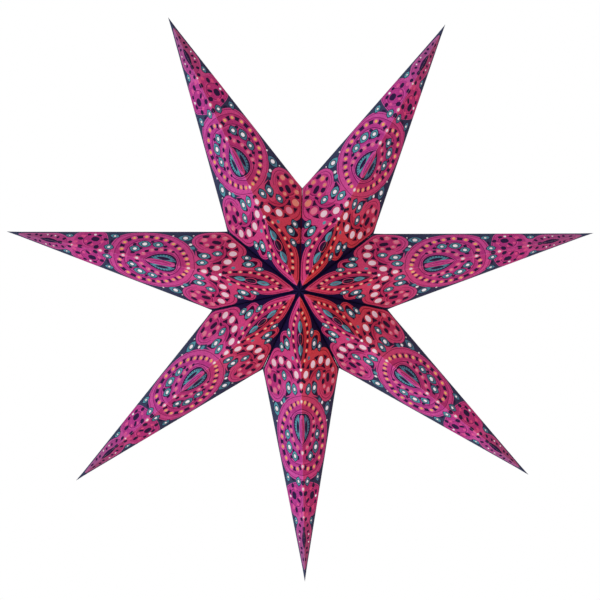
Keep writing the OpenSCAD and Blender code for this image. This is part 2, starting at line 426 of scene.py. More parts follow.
# Pointed leaves with a white eye: middle, half sizes, turn, radius of the eye, rays
EYES = [
    (47.6, 19.3, 4.7, 3.2, -4, 1.8, 8), (60.1, 23.1, 6.2, 4.4, -6, 2.4, 14),
    (65.3, 32, 5, 3.4, 0, 1.9, 8), (94.8, 29.3, 5, 3.7, -10, 1.9, 8), (106, 22.1, 6.3, 4.3, 0, 2.4, 14),
    (104.6, 11.9, 5.7, 4, -12, 1.9, 10), (133.9, 43.3, 7.2, 4.4, -14, 2.5, 16),
    (156, 25.1, 5.5, 4, 0, 1.8, 10), (169.1, 22.4, 6.4, 4.6, -4, 2.5, 14),
    (175.9, 12.9, 5.3, 4.3, 0, 2.1, 10), (202.4, 25.6, 4.7, 2.9, -4, 1.4, 0),
    (201.5, 7.6, 4.7, 3.7, 0, 1.7, 8), (246, 13, 4, 2.4, -8, 1.1, 0),
]
# The teal wedges round each eye: their width and how far they reach past it
RAY_WIDTH = 0.5
RAY_REACH = 2
# Small pale dots: place and radius
PALE_DOTS = [
    (125.4, 34.8, 1.8), (127.6, 49.2, 0.9), (146.9, 42.9, 1.1), (81.5, 0.7, 1.5), (221.9, 21.8, 1.5),
    (259.4, 8.4, 1), (267.6, 7.9, 1),
]
RIDGE_DOTS = [(98.4, 0, 3), (114.6, 0, 1.9), (169, 0, 2), (183.5, 0, 1.9), (207.8, 0, 2), (238.4, 0, 1.3)]
# Dark blocks in the lobes, the drops and the rings: middle, half sizes, turn
MARKS = [
    (101.7, 45.6, 4.8, 2.9, 0), (103.7, 37.2, 2.8, 2.7, 0), (103, 55.3, 1.9, 3, 4),
    (115.3, 51.5, 3.4, 2.1, -28), (93.6, 39.6, 1.4, 2.9, -8), (116, 40, 2.3, 1.7, 30),
    (91, 51.8, 2.1, 2.8, 28), (95, 5.1, 1.7, 2.9, -32), (92.3, 2.1, 1.9, 2.2, 0),
    (103.7, 0.8, 2.1, 2.2, 0), (79, 3.8, 1.6, 2.6, -24), (106.9, 8, 2, 1.3, 30),
    (113.6, 25.6, 2.6, 1.6, 30), (99.6, 20.4, 1.6, 2.3, 0), (137.6, 19, 1.6, 1.6, 0),
    (146, 19.5, 1.8, 1.9, 0), (155, 17.6, 2.1, 2, 0), (163.2, 12.8, 2.2, 1.9, -40),
    (169.1, 4.7, 2.2, 2.1, 0), (148, 24.4, 1.9, 1.8, 0), (178.4, 19, 1.8, 2.3, 0),
    (170.4, 15.2, 1.7, 1.5, 0), (175.9, 7, 2.3, 1.7, 0), (163, 27.8, 1.8, 1.6, 0),
    (185.4, 3.6, 2.3, 2.2, 0), (201.2, 1, 2.6, 1.9, 0), (209, 17.6, 2.5, 2.1, 20),
    (217, 21.9, 2.3, 1.7, 0), (219, 15.2, 4.1, 3.6, 0), (213.5, 4, 2.5, 2.9, 0),
    (222.2, 7.6, 1.6, 3.1, 28), (227.6, 20.3, 1.9, 1.6, -18), (233.6, 11.7, 3, 2.1, 0),
    (241.4, 3.6, 2.1, 2.1, 30), (249, 6.4, 1.6, 2, 30), (251.2, 0.8, 2.4, 1.5, 0),
    (255.8, 6.9, 1.3, 1.8, 10), (263, 6.9, 1.2, 1.7, 10), (278.2, 4.6, 1.4, 1.6, 0),
    (202.2, 16.6, 1.3, 2.8, 0), (273.3, 4.6, 1.3, 1.8, 0), (285, 2.2, 2, 1.1, 0),
    (229.8, 1.4, 2.5, 1.4, 0),
]
# Bright spots without a cut-out in the rings: middle and half sizes
GLOWS = [
    (211, 13, 1.9, 2), (232.3, 16.6, 2.6, 1.9), (227, 9.2, 1.5, 2), (219, 6, 1.4, 2),
    (236.5, 5.9, 2.2, 2), (233.9, 0.8, 1.8, 1.6), (259.4, 3.1, 3, 0.9), (268, 2.6, 2.4, 0.8),
]


def leaf_print():
    """The leaf and its spindle, as (ink, outline) in painting order."""
    yield "band", closed_by_fold(LEAF_EDGE)
    yield "line", ribbon(LEAF_EDGE[1:-1], 0.7, -1.7)
    yield "field", closed_by_fold(LEAF_INSIDE)
    yield "dark", ribbon(LEAF_ROW, 3.5)
    for x, y in LEAF_DOTS:
        yield "glow", oval(x, y, 2.5)
    yield "line", leaf(50.4, 0, 25, 7.2)
    yield "band", leaf(50.4, 0, 24.4, 6.6)
    yield "dark", leaf(50.4, 0, 22.6, 5.9)
    yield "band", oval(50, 0, 6.4, 4.5)
    yield "dark", oval(50, 0, 5.5, 3.6)
    for x, rx, ry in ((37.2, 6.6, 3.5), (61, 6, 3.4)):
        yield "teal", leaf(x, 0, rx, ry)
        yield "line", leaf(x, 0, rx * 0.6, 0.6)


def spike_print():
    """The spike between the leaf and the notch."""
    yield "band", smooth(SPIKE_EDGE)
    yield "line", ribbon(SPIKE_EDGE[:8], 0.6, -1.5)
    yield "field", smooth(SPIKE_INSIDE)
    yield "dark", smooth(SPIKE_DARK)


def lobe_print():
    """The lobe beside the notch, with its ring of ovals and its medallion."""
    yield "band", smooth(LOBE_EDGE)
    yield "field", smooth(LOBE_INSIDE)
    yield "dark", ring(*LOBE_RING, 134, 240)
    for x, y in OVALS:
        yield "band", oval(x, y, 6)
        yield "line", oval(x, y, 5.2)
        yield "glow", oval(x, y, 4.8)
    for (x1, y1), (x2, y2) in zip(OVALS, OVALS[1:]):
        yield "field", oval((x1 + x2) / 2, (y1 + y2) / 2, 1.9)
    yield "line", ring(*LOBE_RING[:2], 13.2, 13.9, 120, 250)
    yield "line", ring(*MEDALLION, 10.7, 11.5)
    yield "band", ring(*MEDALLION, 11.5, 13)
    yield "dark", np.array([(99.4, 18.4), (101.2, 26), (116.4, 26.8), (112.9, 20.2), (109.4, 17.2)])
    yield "ground", leaf(120.2, 30.9, 6.2, 3.2, 42)
    yield "band", ribbon(LOBE_BAND, 2.8)
    yield "line", ribbon(LOBE_BAND, 0.6, -0.7)


def drop_print():
    """The drop on the fold, with its beads and its crescent."""
    yield "band", closed_by_fold(DROP_EDGE)
    yield "line", ribbon(DROP_EDGE, 0.6, -1.7)
    yield "field", closed_by_fold(DROP_INSIDE)
    yield "line", ribbon(DROP_INSIDE, 0.6)
    yield "dark", ribbon(BEADS + [(183, 1)], 4.6)
    for x, y in BEADS:
        yield "band", oval(x, y, 3.4)
        yield "glow", oval(x, y, 2.8)
    yield "line", closed_by_fold(DROP_CORE)
    yield "band", closed_by_fold(resized(DROP_CORE, DROP_CORE_MIDDLE, 0.97))
    yield "field", closed_by_fold(resized(DROP_CORE, DROP_CORE_MIDDLE, 0.9))
    yield "band", ribbon(CORE_LINE, 1.6)
    yield "line", ribbon(CORE_LINE, 0.5, -1.1)
    yield "line", closed_by_fold(resized(EYELID, CRESCENT_MIDDLE[0], 1.1))
    yield "band", closed_by_fold(resized(EYELID, CRESCENT_MIDDLE[0], 1.06))
    yield "dark", closed_by_fold(EYELID)
    yield "teal", smooth(CRESCENT, step=1.2)
    yield "dark", leaf(*CRESCENT_SLIT)
    for k in range(CRESCENT_LASHES):
        a = math.radians(168 - 156 * k / (CRESCENT_LASHES - 1))
        way = np.array([math.cos(a), math.sin(a)])
        across = np.array([way[1], -way[0]]) * 0.42
        outer, inner = (np.array(CRESCENT_MIDDLE) + way * half for half in ((13.4, 9.4), (10.6, 7)))
        yield "dark", np.array([outer + across, outer - across, inner - across, inner + across])
    yield "band", closed_by_fold(DROP_SPINDLE)
    yield "line", leaf(144, 0, 12, 2.6)
    yield "field", leaf(144, 0, 11, 2)


def ring_print():
    """The ring and the tail beside the tip."""
    yield "band", smooth(RING_EDGE)
    yield "line", ribbon(RING_EDGE[1:10], 0.6, -1.3)
    yield "field", smooth(RING_INSIDE)
    yield "line", ring(*RING_MIDDLE, 9, 9.7)
    yield "band", ring(*RING_MIDDLE, 9.7, 11)
    yield "field", smooth(TAIL_INSIDE)
    yield "line", ribbon(TAIL_INSIDE[:6], 0.5)
    for x, y, rx, ry in GLOWS:
        yield "glow", oval(x, y, rx, ry)


def print_shapes():
    """The print as (ink, outline) in painting order, the last one on top; the first is the ground."""
    shapes = [*spike_print(), *lobe_print(), *ring_print(), *leaf_print(), *drop_print()]

    def paint(ink, *outlines):
        shapes.extend((ink, o) for o in outlines)

    paint("glow", *(oval(x, y, r + 1.2) for x, y, r in LOBE_DOTS + ROW_DOTS))
    paint("dark", *(block(*mark) for mark in MARKS))
    paint("dark", leaf(262.5, 0, 10, 3.4))
    paint("ground", leaf(123.2, 32.6, 3, 1.8, 50))
    paint("glow", *(oval(x, 0, r + 1.4) for x, _, r in RIDGE_DOTS))
    for x, y, rx, ry, turn, eye, count in EYES:
        paint("dark", leaf(x, y, rx + 1, ry + 0.8, turn))
        paint("teal", leaf(x, y, rx, ry, turn))
        paint("dark", oval(x, y, eye + 0.5 + 0.04 * count))
        if count:
            paint("teal", *rays(x, y, eye, eye + RAY_REACH, count))
    paint("teal", leaf(121.5, 30.3, 3, 2.3, 20), leaf(72.6, 13.6, 2.2, 2, -8))
    return shapes


def cut_outs():
    """Each cut-out of half a point as (tissue behind it, outline, middle, radius)."""
    cuts = [("pink_white", oval(x, y, 3.9), (x, y), 3.9) for x, y in OVALS]
    cuts += [("orange", oval(x, y, 1.9), (x, y), 1.9) for x, y in BEADS]
    cuts += [("cream", oval(x, y, 1.45), (x, y), 1.45) for x, y in LEAF_DOTS]
    cuts += [("pink", oval(x, y, r), (x, y), r) for x, y, r in LOBE_DOTS + ROW_DOTS]
    cuts += [("pink_white", oval(x, y, r), (x, y), r) for x, y, r in RIDGE_DOTS]
    cuts += [("white", oval(x, y, eye), (x, y), eye) for x, y, _, _, _, eye, _ in EYES]
    cuts += [("white", oval(x, y, r), (x, y), r) for x, y, r in PALE_DOTS]
    return cuts


def at_tied_seam(outline):
    """The same outline on the tied seam's faces, where the print lies nearer to the seam."""
    x, y = np.asarray(outline, float).reshape(-1, 2).T
    near_centre = np.clip((96 - x) / 36, 0, 1)
    off_fold = np.clip(y / 5, 0, 1)
    return np.stack([x, y + TIED_SHIFT * near_centre * off_fold], 1)


def tied_print():
    """The print of the tied seam's faces, with the spike running out to the seam."""
    shapes = [(ink, at_tied_seam(outline)) for ink, outline in PRINT]
    for ink, width, aside in (("band", 2.6, 0.0), ("line", 0.6, 0.4)):
        shapes += [(ink, ribbon(line, width, aside)) for line in SPIKE_ENDS]
    return shapes + [("line", ribbon([(9, 5.9), (53, 34.4), (99, 64.3)], 1.1))]


def tied_cut_outs():
    """The cut-outs of the tied seam's faces; the ones beside the seam get darker tissue, as painted shade."""
    cuts = []
    for tint, outline, middle, radius in CUTS:
        # Painted shade: the pale cut-outs far from the fold on the tied seam's faces, at the top of the star,
        # get darker pink and orange-pink tissue for the dimmer light there
        if tint in ("pink_white", "pink") and middle[1] > 30:
            tint = "salmon" if middle[1] > 38 else "pink"
        cuts.append((tint, at_tied_seam(outline), tuple(at_tied_seam(middle)[0]), radius))
    return cuts


PRINT, CUTS = print_shapes(), cut_outs()
TIED_PRINT, TIED_CUTS = tied_print(), tied_cut_outs()


# Places on the star


def unit(v):
    return v / np.linalg.norm(v)


def fold_distance(places, start, end):
    """Distance of each place from the straight fold between two corners."""
    way = unit(end - start)
    rel = places - start
    return np.linalg.norm(rel - np.outer(rel @ way, way), axis=1)


def line_places(start, end):
    """The corner places of the mesh's edges, spaced so that they match on every face that shares them."""
    count = max(1, int(round(np.linalg.norm(np.subtract(end, start)) / 3.5)))
    return [tuple(np.subtract(end, start) * k / count + start) for k in range(count + 1)]


def node_places(name):
    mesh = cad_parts[name].data
    places = np.empty(len(mesh.vertices) * 3)
    mesh.vertices.foreach_get("co", places)
    return places.reshape(-1, 3)


class Facet:
    """One flat face of a point: a half print stretched between the centre, the tip and a notch."""

    def __init__(self, centre, tip, notch, corner, outward):
        self.centre, self.tip, self.notch, self.corner = centre, tip, notch, corner
        n = unit(np.cross(tip - centre, notch - centre))
        self.normal = n if n @ outward > 0 else -n

    def place(self, flat):
        flat = np.asarray(flat, float).reshape(-1, 2)
        out = flat[:, 1] / self.corner[1]
        along = (flat[:, 0] - out * self.corner[0]) / PRINT_LENGTH
        return self.centre + np.outer(along, self.tip - self.centre) + np.outer(out, self.notch - self.centre)

    def flat(self, places):
        sides = np.stack([self.tip - self.centre, self.notch - self.centre], 1)
        along, out = np.linalg.lstsq(sides, (np.asarray(places) - self.centre).T, rcond=None)[0]
        return np.stack([along * PRINT_LENGTH + out * self.corner[0], out * self.corner[1]], 1)

    def lamp_outline(self, radius):
        """Where the round lamp hole cuts this face, on the flat print."""
        edge = unit(self.centre - self.notch)
        seam_normal = unit(np.cross(self.notch, (0, 1, 0)))
        axis = np.cross(seam_normal, edge)
        inward = unit(np.cross(self.normal, edge))
        if inward @ (self.tip - self.notch) < 0:
            inward = -inward
        across = radius / math.sqrt(1 - (inward @ axis) ** 2)
        middle = self.notch + edge * LAMP_HOLE_PLACE * MM
        t = np.linspace(0, 2 * math.pi, 36, endpoint=False)
        ring = middle + np.outer(np.cos(t) * radius, edge) + np.outer(np.sin(t) * across, inward)
        return self.flat(ring)


class Point:
    """The corners, faces and folds of one point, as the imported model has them."""

    def __init__(self, index):
        self.index, self.name = index, POINTS[index]
        places = node_places("point_" + self.name)
        from_axis = np.hypot(places[:, 0], places[:, 2])
        self.tip = places[from_axis.argmax()] * (1, 0, 1)
        arm = unit(self.tip)
        aside = places @ np.cross(arm, (0, 1, 0))
        level = np.abs(places[:, 1]) < 5e-5
        # Seen from the front, the next point clockwise lies on the negative side
        before = places[np.where(level, aside, -1).argmax()] * (1, 0, 1)
        after = places[np.where(level, aside, 1).argmin()] * (1, 0, 1)
        self.notches = {"after": after, "before": before}
        deep = {"front": places[:, 1].min(), "back": places[:, 1].max()}
        self.ends = {end: np.array([0, y, 0]) for end, y in deep.items()}
        self.tied = {"after": index == TIED_AFTER, "before": index == TIED_AFTER + 1}
        self.faces = {
            (end, side): Facet(
                self.ends[end], self.tip, self.notches[side],
                TIED_PRINT_CORNER if self.tied[side] else PRINT_CORNER,
                self.ends[end] + (self.notches[side] - self.tip * 0.2),
            )
            for end in self.ends
            for side in self.notches
        }
        middle = self.tip * 0.3
        self.seam_normals = {}
        for side, notch in self.notches.items():
            n = unit(np.cross(notch, (0, 1, 0)))
            self.seam_normals[side] = n if n @ middle < 0 else -n
        self.normals = [f.normal for f in self.faces.values()] + list(self.seam_normals.values())
        self.folds = self.find_folds()
        self.moves = {}

    def find_folds(self):
        """Each fold as (start, end, the way inwards, whether it rubs pale)."""
        folds = []
        for end, centre in self.ends.items():
            pair = self.faces[end, "after"].normal + self.faces[end, "before"].normal
            folds.append((centre, self.tip, -unit(pair), True))
            for side, notch in self.notches.items():
                pair = self.faces[end, side].normal + self.seam_normals[side]
                folds.append((centre, notch, -unit(pair), False))
        for side, notch in self.notches.items():
            pair = self.faces["front", side].normal + self.faces["back", side].normal
            folds.append((notch, self.tip, -unit(pair), True))
        return folds

    def side_light_amount(self, bit):
        """Painted light and shade: how far a face's print is made redder and its darks darker, as on faces
        lit from the right; more so on faces that look to the right.
        """
        return float(np.clip(0.5 + 0.55 * self.normals[bit][0], 0, 1))

    def inward_move(self, faces):
        """The move by one unit under every face in the set of bits."""
        if faces not in self.moves:
            rows = np.array([n for k, n in enumerate(self.normals) if faces >> k & 1])
            self.moves[faces] = np.linalg.lstsq(rows, -np.ones(len(rows)), rcond=None)[0]
        return self.moves[faces]

    def settle(self, places, faces, sizes):
        """The outer skin of the folded card: its folds rounded and its faces a little uneven."""
        moved = places.copy()
        nearest = np.full(len(places), 1.0)
        worn = np.full(len(places), 1.0)
        ends = np.minimum.reduce([
            np.linalg.norm(places - self.tip, axis=1) / SHARP_TIP,
            np.linalg.norm(places - self.ends["front"], axis=1) / SHARP_CENTRE,
            np.linalg.norm(places - self.ends["back"], axis=1) / SHARP_CENTRE,
            *(np.linalg.norm(places - notch, axis=1) / SHARP_NOTCH for notch in self.notches.values()),
        ])
        easing = np.clip(ends, 0, 1)
        for start, end, inwards, rubs in self.folds:
            gap = fold_distance(places, start, end)
            drop = np.clip(1 - gap / sizes.fold_width, 0, 1) ** 2 * sizes.fold_drop * easing
            moved += np.outer(drop, inwards)
            nearest = np.minimum(nearest, gap)
            worn = np.minimum(worn, gap) if rubs else worn
        calm = np.clip(nearest / FLAT_EDGE, 0, 1)
        calm = calm * calm * (3 - 2 * calm)
        for k, normal in enumerate(self.normals[:4]):
            own = faces == 1 << k
            spot = places[own] / SWELL_SPAN + 5.3 * self.index + 1.9 * k
            swell = (
                np.sin(spot[:, 0] * 1.1 + 0.6 * np.sin(spot[:, 2])) + np.sin(spot[:, 2] * 0.9 + spot[:, 1])
                + 0.6 * np.sin((spot[:, 0] - spot[:, 2]) * 2.1 + k)
            ) / 2.6
            moved[own] += np.outer(swell * calm[own] * sizes.unevenness, normal)
        for k, side in enumerate(self.seam_normals):
            at_seam = faces >> (4 + k) & 1 == 1
            moved[at_seam] -= self.seam_normals[side] * sizes.seam_gap
        return moved, np.clip(1 - worn / WEAR_WIDTH, 0, 1) * easing


# Sheets of card and tissue


def corner_way_round(outline):
    x, y = outline[:, 0], outline[:, 1]
    area = np.sum(x * np.roll(y, -1) - np.roll(x, -1) * y)
    return outline if area > 0 else outline[::-1]


def part_flat(outlines, lines=(), loose=()):
    """Parts the first outline into triangles along all the others.

    Gives the corners, the triangles and, for each triangle, the number of the
    last outline that holds it.
    """
    corners, edges, faces = [], [], []
    for outline in outlines:
        start = len(corners)
        corners.extend(Vector(p) for p in corner_way_round(np.asarray(outline, float)))
        faces.append(list(range(start, len(corners))))
    for line in lines:
        start = len(corners)
        corners.extend(Vector(p) for p in line)
        edges.extend((k, k + 1) for k in range(start, len(corners) - 1))
    corners.extend(Vector(p) for p in loose)
    found, _, triangles, _, _, owners = delaunay_2d_cdt(corners, edges, faces, 1, 1e-4)
    kept = [(t, max(o)) for t, o in zip(triangles, owners) if 0 in o]
    flat = np.array([tuple(p) for p in found])
    parts = np.array([t for t, _ in kept])
    return flat, parts, np.array([o for _, o in kept])


def facet_domain(corner, from_centre=0.0):
    """The half print's triangle, with its edges parted at places that every face shares."""
    centre = (from_centre * PRINT_LENGTH, 0.0)
    tip = (PRINT_LENGTH, 0.0)
    notch = tuple(np.array(corner) + from_centre * (np.array(tip) - corner))
    sides = [line_places(centre, tip), line_places(tip, notch), line_places(notch, centre)]
    return np.array([p for side in sides for p in side[:-1]]), (centre, tip, notch)


def beside_folds(ends, distances):
    """Lines along the inside of each side of the half print."""
    lines = []
    for k in range(3):
        a, b, c = (np.array(ends[(k + j) % 3]) for j in range(3))
        way = (b - a) / np.linalg.norm(b - a)
        side = np.array([-way[1], way[0]])
        side = side if side @ (c - a) > 0 else -side
        for d in distances:
            skip = min(9.0, d * 5)
            lines.append(line_places(tuple(a + way * skip + side * d), tuple(b - way * skip * 2 + side * d)))
    return lines


def mesh_points(ends, spacing):
    """Loose mesh points inside the half print, in rows."""
    places = []
    corners = np.array(ends)
    row, y = 0, spacing * 0.5
    while y < corners[:, 1].max():
        x = spacing * (0.5 if row % 2 else 1.0)
        while x < PRINT_LENGTH:
            inside = True
            for k in range(3):
                a, b, c = corners[k], corners[(k + 1) % 3], corners[(k + 2) % 3]
                way = (b - a) / np.linalg.norm(b - a)
                side = np.array([-way[1], way[0]])
                side = side if side @ (c - a) > 0 else -side
                inside = inside and side @ (np.array([x, y]) - a) > 1.6
            if inside:
                places.append((x, y))
            x += spacing
        row, y = row + 1, y + spacing * 0.87
    return places


def lamp_cuts(facet, has_lamp_hole, margin):
    return [facet.lamp_outline((LAMP_HOLE / 2 + margin) * MM)] if has_lamp_hole else []


def open_cuts(facet, has_lamp_hole):
    """The cut-outs of a face, less those that the lamp hole would touch."""
    cuts = TIED_CUTS if facet.corner == TIED_PRINT_CORNER else CUTS
    if not has_lamp_hole:
        return cuts
    seam = np.linalg.norm(facet.notch - facet.centre) / MM
    lamp = (1 - LAMP_HOLE_PLACE / seam) * np.array(facet.corner)
    return [c for c in cuts if np.linalg.norm(np.array(c[2]) - lamp) > LAMP_HOLE / 2 + 4 + c[3]]


def card_flat(facet, has_lamp_hole, sizes, store):
    key = (facet.corner, tuple(np.round(facet.normal, 6)) if has_lamp_hole else 0)
    if key not in store:
        domain, ends = facet_domain(facet.corner)
        cuts = [c[1] for c in open_cuts(facet, has_lamp_hole)] + lamp_cuts(facet, has_lamp_hole, 0)
        print_here = TIED_PRINT if facet.corner == TIED_PRINT_CORNER else PRINT
        outlines = [domain] + [o for _, o in print_here] + cuts
        flat, parts, owners = part_flat(
            outlines, beside_folds(ends, (0.45, 1.2)), mesh_points(ends, sizes.weave / MM))
        inks = ["ground"] + [ink for ink, _ in print_here]
        kept = owners < len(inks)
        store[key] = flat, parts[kept], [inks[o] for o in owners[kept]]
    return store[key]


def tissue_flat(facet, has_lamp_hole, from_centre, sizes, store):
    key = (facet.corner, round(from_centre, 5), tuple(np.round(facet.normal, 6)) if has_lamp_hole else 0)
    if key not in store:
        domain, ends = facet_domain(facet.corner, from_centre)
        cuts = open_cuts(facet, has_lamp_hole)
        patches = [np.array(c[2]) + (c[1] - c[2]) * (1 + 1.2 / c[3]) for c in cuts]
        holes = lamp_cuts(facet, has_lamp_hole, 2)
        flat, parts, owners = part_flat(
            [domain] + patches + holes, beside_folds(ends, (1.2,)), mesh_points(ends, sizes.weave / MM))
        kept = owners <= len(patches)
        tints = ["plain"] + [c[0] for c in cuts]
        store[key] = flat, parts[kept], [tints[o] for o in owners[kept]]
    return store[key]


def flap_flat(point, side, seam_places):
    """One seam's folded flaps in the seam's own plane: X away from the centre, Y to the back."""
    reach = np.linalg.norm(point.notches[side]) / MM
    deep = point.ends["back"][1] / MM
    tilt = math.atan2(deep, reach)
    window = reach - FLAP_WIDTH / math.sin(tilt)
    low = deep * window / reach
    edge = [(reach * s, -deep * (1 - s)) for s in seam_places["front"]]
    edge += [(reach * s, deep * (1 - s)) for s in seam_places["back"][::-1]][1:]
    axis = [k * 3.0 for k in range(int(low // 3) + 1, int(deep // 3) + 1) if low + 0.5 < k * 3.0 < deep - 0.5]
    outline = edge + [(0, y) for y in axis[::-1]] + [(0, low), (window, 0), (0, -low)]
    outline += [(0, -y) for y in axis]
    holes = []
    if point.tied[side]:
        t = np.linspace(0, 2 * math.pi, 20, endpoint=False)
        ring = np.stack([np.cos(t), np.sin(t)], 1)
        for way in (-1, 1):
            for k in (0, 1):
                along = TIE_HOLE_START + TIE_HOLE_PITCH * k + (LAMP_HOLE / 2 if way > 0 else 0)
                middle = (
                    reach - along * math.cos(tilt) - FLAP_WIDTH / 2 * math.sin(tilt),
                    way * (along * math.sin(tilt) - FLAP_WIDTH / 2 * math.cos(tilt)),
                )
                holes.append(ring * TIE_HOLE / 2 + middle)
        holes.append(ring * HANG_HOLE / 2 + (reach - HANG_HOLE_DROP, 0))
        edge_way = np.array([-math.cos(tilt), math.sin(tilt)])
        across = np.array([-math.sin(tilt), -math.cos(tilt)])
        middle = np.array([reach, 0]) + edge_way * LAMP_HOLE_PLACE
        holes.append(np.array([
            middle + edge_way * a * LAMP_HOLE / 2 + across * b
            for a, b in ((-1, -4), (1, -4), (1, FLAP_WIDTH * 1.05), (-1, FLAP_WIDTH * 1.05))
        ]))
    flat, parts, owners = part_flat([np.array(outline)] + holes)
    out = unit(point.notches[side])
    places = (np.outer(flat[:, 0], out) + np.outer(flat[:, 1], (0, 1, 0))) * MM
    return places, parts[owners == 0]


def join_places(places, faces, near_edge):
    """Joins the corners that faces share. Gives each corner's new number, and the joined places and bits."""
    tree = kdtree.KDTree(len(places))
    for k in np.nonzero(near_edge)[0]:
        tree.insert(places[k], int(k))
    tree.balance()
    number = np.full(len(places), -1)
    kept, bits = [], []
    for k in range(len(places)):
        if number[k] >= 0:
            continue
        group = [k]
        if near_edge[k]:
            group = [j for _, j, _ in tree.find_range(places[k], 6e-6) if number[j] < 0]
        number[group] = len(kept)
        kept.append(k)
        bits.append(int(np.bitwise_or.reduce(faces[group])))
    return number, places[kept], np.array(bits)


def sheet_object(name, point, pieces, sizes, depth, thickness, finishes, under, edge):
    """A folded sheet as a mesh object.

    Each of its pieces is (face number, places, triangles, finish of each triangle).
    """
    places = np.concatenate([p[1] for p in pieces])
    faces = np.concatenate([np.full(len(p[1]), 1 << p[0]) for p in pieces])
    triangles, tints, facings, start = [], [], [], 0
    for bit, spots, parts, finish in pieces:
        a, b, c = (spots[parts[:, k]] for k in range(3))
        facing = np.einsum("ij,j->i", np.cross(b - a, c - a), point.normals[bit])
        turned_parts = np.where(facing[:, None] > 0, parts, parts[:, ::-1])
        triangles.append(turned_parts + start)
        tints.extend(finish)
        facings.extend([bit] * len(parts))
        start += len(spots)
    triangles = np.concatenate(triangles)
    gaps = np.minimum.reduce([fold_distance(places, fold[0], fold[1]) for fold in point.folds])
    near_edge = (gaps < 2e-5) | (np.hypot(places[:, 0], places[:, 2]) < 2e-5)
    number, joined, bits = join_places(places, faces, near_edge)
    triangles = number[triangles]
    a, b, c = triangles.T
    whole = (a != b) & (b != c) & (c != a)
    triangles = triangles[whole]
    tints = [t for t, w in zip(tints, whole) if w]
    facings = [f for f, w in zip(facings, whole) if w]
    used = np.zeros(len(joined), bool)
    used[triangles] = True
    renumber = np.cumsum(used) - 1
    triangles, joined, bits = renumber[triangles], joined[used], bits[used]

    skin, wear = point.settle(joined, bits, sizes)
    inwards = np.array([point.inward_move(b) for b in bits])
    outer = skin + inwards * depth
    inner = skin + inwards * (depth + thickness)
    # Near the tip the two sides of the sheet would cross at the middle plane
    side = np.sign(joined[:, 1])
    for skin_places, gap in ((outer, 3e-5), (inner, 1e-5)):
        if depth == 0 and skin_places is outer:
            continue
        held = np.maximum(skin_places[:, 1] * side, gap) * side
        on_middle = np.abs(joined[:, 1]) < 1e-6
        skin_places[:, 1] = np.where(on_middle, 0.0, held)

    count = len(outer)
    owner = {}
    for a, b, c in triangles:
        for e in ((a, b), (b, c), (c, a)):
            owner[e] = owner.get(e, 0) + 1
    rims = [(b, a, a + count, b + count) for a, b in owner if (b, a) not in owner]
    all_faces = triangles.tolist() + (triangles[:, ::-1] + count).tolist() + rims
    mesh = bpy.data.meshes.new(name)
    mesh.from_pydata(np.concatenate([outer, inner]).tolist(), [], all_faces)
    names = sorted(set(tints)) + [under, edge]
    for finish in names:
        mesh.materials.append(finishes[finish])
    slots = [names.index(t) for t in tints]
    slots += [len(names) - 2] * len(triangles) + [len(names) - 1] * len(rims)
    mesh.polygons.foreach_set("material_index", slots)
    # Painted light and shade: each face's share of the redder, darker look of faces lit from the right, kept
    # as a face attribute for the inks
    side_light_amounts = np.array([point.side_light_amount(b) for b in facings])
    warm = mesh.attributes.new("warm", "FLOAT", "FACE")
    warm.data.foreach_set("value", np.concatenate([side_light_amounts, side_light_amounts, np.zeros(len(rims))]))
    worn = mesh.attributes.new("wear", "FLOAT", "POINT")
    worn.data.foreach_set("value", np.concatenate([wear, np.zeros(count)]))
    mesh.polygons.foreach_set("use_smooth", [True] * len(all_faces))
    mesh.update()
    mesh.set_sharp_from_angle(angle=math.radians(40))
    piece = bpy.data.objects.new(name, mesh)
    bpy.context.scene.collection.objects.link(piece)
    return piece


def make_card(point, sizes, finishes, store):
    pieces, seams = [], {side: {} for side in point.notches}
    for bit, (key, facet) in enumerate(point.faces.items()):
        end, side = key
        flat, parts, inks = card_flat(facet, end == "back" and point.tied[side], sizes, store)
        used = np.zeros(len(flat), bool)
        used[parts] = True
        pieces.append((bit, facet.place(flat), parts, inks))
        slope = facet.corner[1] / facet.corner[0]
        on_seam = used & (np.abs(flat[:, 1] - slope * flat[:, 0]) < 2e-3)
        seams[side][end] = sorted(flat[on_seam, 1] / facet.corner[1])
    for k, side in enumerate(point.notches):
        places, parts = flap_flat(point, side, seams[side])
        pieces.append((4 + k, places, parts, ["ground"] * len(parts)))
    return sheet_object(
        "card_" + point.name, point, pieces, sizes, 0.0, sizes.card_thickness, finishes,
        "card_back", "card_edge")


def make_tissue(point, sizes, finishes, store):
    half = min(
        math.asin(np.linalg.norm(np.cross(unit(point.tip), unit(n)))) for n in point.notches.values())
    from_centre = sizes.tissue_margin / (np.linalg.norm(point.tip) * math.sin(half))
    pieces = []
    for bit, (key, facet) in enumerate(point.faces.items()):
        end, side = key
        flat, parts, tints = tissue_flat(facet, end == "back" and point.tied[side], from_centre, sizes, store)
        pieces.append((bit, facet.place(flat), parts, ["tissue_" + t for t in tints]))
    return sheet_object(
        "tissue_" + point.name, point, pieces, sizes, sizes.tissue_depth, sizes.tissue_thickness, finishes,
        "tissue_plain", "tissue_plain")


# Finishes


class Wire:
    """A shader socket that can be used in sums; each sum adds its own node."""

    def __init__(self, shader, socket):
        self.shader, self.socket = shader, socket

    def _sum(self, operation, *values):
        return self.shader.add("ShaderNodeMath", {"operation": operation}, dict(enumerate(values)))

    def __add__(self, other):
        return self._sum("ADD", self, other)

    __radd__ = __add__

    def __mul__(self, other):
        return self._sum("MULTIPLY", self, other)

    __rmul__ = __mul__

    def __pow__(self, other):
        return self._sum("POWER", self, other)

    def larger(self, other):
        return self._sum("MAXIMUM", self, other)


